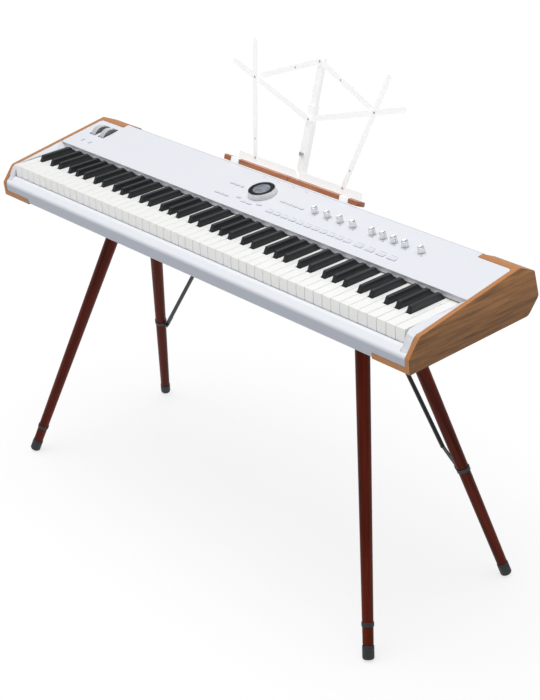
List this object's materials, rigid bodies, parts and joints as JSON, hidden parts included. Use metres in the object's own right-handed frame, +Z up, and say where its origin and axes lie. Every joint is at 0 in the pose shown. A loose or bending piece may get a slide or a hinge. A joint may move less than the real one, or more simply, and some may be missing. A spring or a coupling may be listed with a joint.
{
  "type": "digital piano on a stand",
  "caption": "Full-size digital piano with wooden cheeks, panel controls and a folding music desk, standing on splayed tapered wooden legs with diagonal braces.",
  "frame": {"origin": "centre of the bounding box's base, on the floor under the instrument", "axes": "+X towards the treble end, +Y from the player towards the back, +Z up"},
  "size_m": [1.278, 0.4734, 0.9819],
  "materials": {
    "panel_white": "satin white moulding, very slightly blue",
    "case_grey": "satin light grey",
    "walnut": "satin walnut, clear coat",
    "mahogany": "clear-coated red-brown wood",
    "ledge_wood": "satin orange-brown wood",
    "white_key": "smooth white",
    "black_key": "fine satin black",
    "felt": "brushed red-brown felt",
    "steel": "plain plated steel",
    "circuit": "green board",
    "wheel_grey": "clear-grey ribbed plastic",
    "silver": "turned, bright",
    "screen": "black gloss cover",
    "rubber": "matte black",
    "black_metal": "satin black",
    "desk_white": "white powder coat"
  },
  "bodies": {
    "case": {"bottom_case": "case_grey", "rear_panel": "case_grey", "top_panel": "panel_white", "front_rail": "panel_white", "key_block_left": "panel_white", "key_block_right": "panel_white", "cheek_left": "walnut", "cheek_right": "walnut", "key_felt": "felt", "keybed_frame": "steel", "main_board": "circuit", "desk_bracket": "desk_white", "leg_front_left": "mahogany", "leg_front_right": "mahogany", "leg_rear_left": "mahogany", "leg_rear_right": "mahogany", "foot_front_left": "rubber", "foot_front_right": "rubber", "foot_rear_left": "rubber", "foot_rear_right": "rubber", "leg_clamp_left": "black_metal", "leg_clamp_right": "black_metal", "brace_left": "black_metal", "brace_right": "black_metal"},
    "white_keys": {"white_keys": "white_key"},
    "black_keys": {"black_keys": "black_key"},
    "key_c4": {"key_c4": "white_key"},
    "key_d4": {"key_d4": "white_key"},
    "key_e4": {"key_e4": "white_key"},
    "key_cs4": {"key_cs4": "black_key"},
    "key_ds4": {"key_ds4": "black_key"},
    "pitch_wheel": {"pitch_wheel": "wheel_grey"},
    "mod_wheel": {"mod_wheel": "wheel_grey"},
    "dial_ring": {"dial_ring": "silver"},
    "dial_screen": {"dial_screen": "screen"},
    "knob_1": {"knob_1": "silver"},
    "knob_2": {"knob_2": "silver"},
    "knob_3": {"knob_3": "silver"},
    "knob_4": {"knob_4": "silver"},
    "knob_5": {"knob_5": "silver"},
    "knob_6": {"knob_6": "silver"},
    "knob_7": {"knob_7": "silver"},
    "knob_8": {"knob_8": "silver"},
    "knob_9": {"knob_9": "silver"},
    "menu_buttons": {"menu_buttons": "panel_white"},
    "preset_buttons": {"preset_buttons": "panel_white"},
    "part_buttons": {"part_buttons": "panel_white"},
    "octave_buttons": {"octave_buttons": "panel_white"},
    "desk_centre": {"centre_bar_lower": "desk_white"},
    "tray_right": {"desk_tray_right": "desk_white", "ledge_right": "ledge_wood"},
    "upright_right": {"desk_upright_right": "desk_white"},
    "diagonal_right": {"desk_diagonal_right": "desk_white"},
    "arm_right": {"desk_arm_right": "desk_white"},
    "tray_left": {"desk_tray_left": "desk_white", "ledge_left": "ledge_wood"},
    "upright_left": {"desk_upright_left": "desk_white"},
    "diagonal_left": {"desk_diagonal_left": "desk_white"},
    "arm_left": {"desk_arm_left": "desk_white"},
    "centre_upper": {"centre_bar_upper": "desk_white"}
  },
  "joints": [
    {"name": "white_keys_press", "type": "hinge", "parent": "case", "child": "white_keys", "pos_m": [0, 0.02988, 0.694], "axis": [1, 0, 0], "range_deg": [0, 3], "stiffness_Nm_per_rad": 78.4, "springref_deg": -3.44},
    {"name": "black_keys_press", "type": "hinge", "parent": "case", "child": "black_keys", "pos_m": [0, 0.02988, 0.694], "axis": [1, 0, 0], "range_deg": [0, 3], "stiffness_Nm_per_rad": 54.4, "springref_deg": -3.44},
    {"name": "key_c4_press", "type": "hinge", "parent": "case", "child": "key_c4", "pos_m": [-0.05875, 0.02988, 0.694], "axis": [1, 0, 0], "range_deg": [0, 3], "stiffness_Nm_per_rad": 1.6, "springref_deg": -3.44},
    {"name": "key_d4_press", "type": "hinge", "parent": "case", "child": "key_d4", "pos_m": [-0.03525, 0.02988, 0.694], "axis": [1, 0, 0], "range_deg": [0, 3], "stiffness_Nm_per_rad": 1.6, "springref_deg": -3.44},
    {"name": "key_e4_press", "type": "hinge", "parent": "case", "child": "key_e4", "pos_m": [-0.01175, 0.02988, 0.694], "axis": [1, 0, 0], "range_deg": [0, 3], "stiffness_Nm_per_rad": 1.6, "springref_deg": -3.44},
    {"name": "key_cs4_press", "type": "hinge", "parent": "case", "child": "key_cs4", "pos_m": [-0.05, 0.02988, 0.694], "axis": [1, 0, 0], "range_deg": [0, 3], "stiffness_Nm_per_rad": 1.6, "springref_deg": -3.44},
    {"name": "key_ds4_press", "type": "hinge", "parent": "case", "child": "key_ds4", "pos_m": [-0.0205, 0.02988, 0.694], "axis": [1, 0, 0], "range_deg": [0, 3], "stiffness_Nm_per_rad": 1.6, "springref_deg": -3.44},
    {"name": "pitch_wheel_turn", "type": "hinge", "parent": "case", "child": "pitch_wheel", "pos_m": [-0.588, 0.06632, 0.71243], "axis": [1, 0, 0], "range_deg": [-40, 40], "stiffness_Nm_per_rad": 0.05},
    {"name": "mod_wheel_turn", "type": "hinge", "parent": "case", "child": "mod_wheel", "pos_m": [-0.556, 0.06632, 0.71243], "axis": [1, 0, 0], "range_deg": [0, 80]},
    {"name": "dial_turn", "type": "hinge", "parent": "case", "child": "dial_ring", "pos_m": [-0.007, 0.05638, 0.726], "axis": [0, -0.1625, 0.9867], "continuous": true},
    {"name": "dial_press", "type": "slide", "parent": "case", "child": "dial_screen", "axis": [0, 0.1625, -0.9867], "range_m": [0, 0.0015], "stiffness_N_per_m": 900, "springref_m": -0.0015},
    {"name": "knob_1_turn", "type": "hinge", "parent": "case", "child": "knob_1", "pos_m": [0.151, 0.05788, 0.72625], "axis": [0, -0.1625, 0.9867], "range_deg": [-150, 150]},
    {"name": "knob_2_turn", "type": "hinge", "parent": "case", "child": "knob_2", "pos_m": [0.1874, 0.05788, 0.72625], "axis": [0, -0.1625, 0.9867], "range_deg": [-150, 150]},
    {"name": "knob_3_turn", "type": "hinge", "parent": "case", "child": "knob_3", "pos_m": [0.2238, 0.05788, 0.72625], "axis": [0, -0.1625, 0.9867], "range_deg": [-150, 150]},
    {"name": "knob_4_turn", "type": "hinge", "parent": "case", "child": "knob_4", "pos_m": [0.2602, 0.05788, 0.72625], "axis": [0, -0.1625, 0.9867], "range_deg": [-150, 150]},
    {"name": "knob_5_turn", "type": "hinge", "parent": "case", "child": "knob_5", "pos_m": [0.314, 0.05788, 0.72625], "axis": [0, -0.1625, 0.9867], "range_deg": [-150, 150]},
    {"name": "knob_6_turn", "type": "hinge", "parent": "case", "child": "knob_6", "pos_m": [0.3434, 0.05788, 0.72625], "axis": [0, -0.1625, 0.9867], "range_deg": [-150, 150]},
    {"name": "knob_7_turn", "type": "hinge", "parent": "case", "child": "knob_7", "pos_m": [0.3728, 0.05788, 0.72625], "axis": [0, -0.1625, 0.9867], "range_deg": [-150, 150]},
    {"name": "knob_8_turn", "type": "hinge", "parent": "case", "child": "knob_8", "pos_m": [0.4022, 0.05788, 0.72625], "axis": [0, -0.1625, 0.9867], "range_deg": [-150, 150]},
    {"name": "knob_9_turn", "type": "hinge", "parent": "case", "child": "knob_9", "pos_m": [0.4445, 0.05788, 0.72625], "axis": [0, -0.1625, 0.9867], "range_deg": [-150, 150]},
    {"name": "menu_buttons_press", "type": "slide", "parent": "case", "child": "menu_buttons", "axis": [0, 0.1625, -0.9867], "range_m": [0, 0.0008], "stiffness_N_per_m": 8400, "springref_m": -0.0008},
    {"name": "preset_buttons_press", "type": "slide", "parent": "case", "child": "preset_buttons", "axis": [0, 0.1625, -0.9867], "range_m": [0, 0.0008], "stiffness_N_per_m": 6600, "springref_m": -0.0008},
    {"name": "part_buttons_press", "type": "slide", "parent": "case", "child": "part_buttons", "axis": [0, 0.1625, -0.9867], "range_m": [0, 0.0008], "stiffness_N_per_m": 2400, "springref_m": -0.0008},
    {"name": "octave_buttons_press", "type": "slide", "parent": "case", "child": "octave_buttons", "axis": [0, 0.1625, -0.9867], "range_m": [0, 0.0008], "stiffness_N_per_m": 1200, "springref_m": -0.0008},
    {"name": "desk_tilt", "type": "hinge", "parent": "case", "child": "desk_centre", "pos_m": [0, 0.15451, 0.72186], "axis": [1, 0, 0], "range_deg": [-30, 0]},
    {"name": "tray_right_fold", "type": "hinge", "parent": "desk_centre", "child": "tray_right", "pos_m": [0.006, 0.15008, 0.7379], "axis": [0, -0.9548, 0.2974], "range_deg": [0, 33.56]},
    {"name": "upright_right_fold", "type": "hinge", "parent": "tray_right", "child": "upright_right", "pos_m": [0.1355, 0.15037, 0.74724], "axis": [0, -0.9548, 0.2974], "range_deg": [-28.76, 0]},
    {"name": "diagonal_right_fold", "type": "hinge", "parent": "desk_centre", "child": "diagonal_right", "pos_m": [0, 0.18731, 0.85408], "axis": [0, -0.9548, 0.2974], "range_deg": [0, 25.84]},
    {"name": "tray_left_fold", "type": "hinge", "parent": "desk_centre", "child": "tray_left", "pos_m": [-0.006, 0.15008, 0.7379], "axis": [0, -0.9548, 0.2974], "range_deg": [-33.61, 0]},
    {"name": "upright_left_fold", "type": "hinge", "parent": "tray_left", "child": "upright_left", "pos_m": [-0.1355, 0.15037, 0.74724], "axis": [0, -0.9548, 0.2974], "range_deg": [0, 28.76]},
    {"name": "diagonal_left_fold", "type": "hinge", "parent": "desk_centre", "child": "diagonal_left", "pos_m": [0, 0.18731, 0.85408], "axis": [0, -0.9548, 0.2974], "range_deg": [-25.84, 0]},
    {"name": "centre_bar_slide", "type": "slide", "parent": "desk_centre", "child": "centre_upper", "axis": [0, 0.2974, 0.9548], "range_m": [0, 0.1389]},
    {"name": "arm_right_fold", "type": "hinge", "parent": "centre_upper", "child": "arm_right", "pos_m": [0, 0.22521, 0.96901], "axis": [0, -0.9548, 0.2974], "range_deg": [-23.03, 0]},
    {"name": "arm_left_fold", "type": "hinge", "parent": "centre_upper", "child": "arm_left", "pos_m": [0, 0.22521, 0.96901], "axis": [0, -0.9548, 0.2974], "range_deg": [0, 23.03]}
  ],
  "couplings": [
    {"joint": "upright_right_fold", "follows": "tray_right_fold", "ratio": -0.85384},
    {"joint": "diagonal_right_fold", "follows": "tray_right_fold", "ratio": 0.76691},
    {"joint": "tray_left_fold", "follows": "tray_right_fold", "ratio": -1},
    {"joint": "upright_left_fold", "follows": "tray_right_fold", "ratio": 0.85384},
    {"joint": "diagonal_left_fold", "follows": "tray_right_fold", "ratio": -0.76691},
    {"joint": "centre_bar_slide", "follows": "tray_right_fold", "m_per_rad": 0.23646},
    {"joint": "arm_right_fold", "follows": "tray_right_fold", "ratio": -0.68339},
    {"joint": "arm_left_fold", "follows": "tray_right_fold", "ratio": 0.68339}
  ]
}
